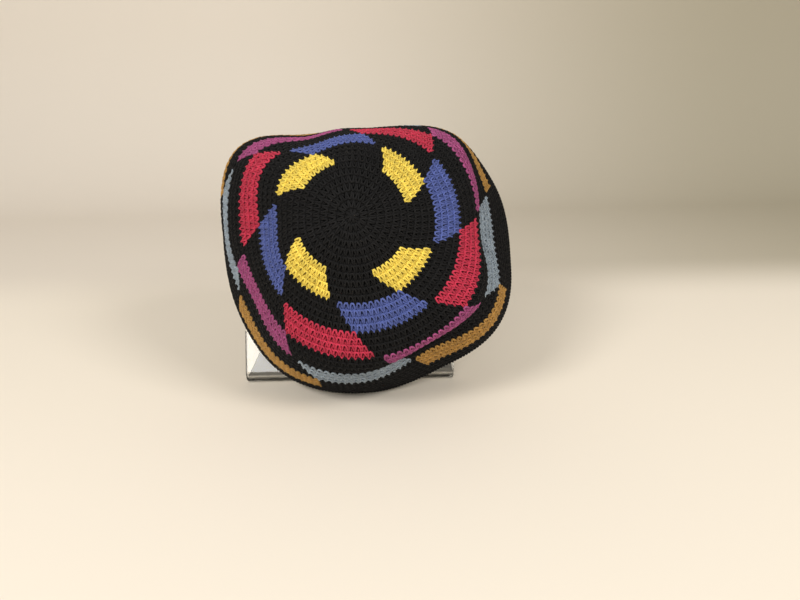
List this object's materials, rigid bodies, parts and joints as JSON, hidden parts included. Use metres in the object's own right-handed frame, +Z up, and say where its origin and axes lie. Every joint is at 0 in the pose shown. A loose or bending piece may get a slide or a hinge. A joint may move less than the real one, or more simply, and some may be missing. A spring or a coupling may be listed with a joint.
{
  "type": "crocheted kippah skullcap on a clear acrylic stand",
  "caption": "Deep crocheted kippah skullcap, black with spiralling bands of coloured stitches, leaning on a clear slant-back display stand.",
  "frame": {"origin": "centre of the stand's foot, on the surface it stands on", "axes": "+Z up, -Y towards the side the stand faces and the crown of the cap points to, +X to that side's right as seen from the front"},
  "size_m": [0.1725, 0.1462, 0.1515],
  "materials": {
    "black_yarn": "mercerised cotton in single crochet",
    "edging_yarn": "corded cotton edging",
    "clear_acrylic": "clear, polished"
  },
  "bodies": {
    "root": {"cap": "black_yarn", "rim_edging": "edging_yarn", "stand": "clear_acrylic"}
  },
  "joints": []
}
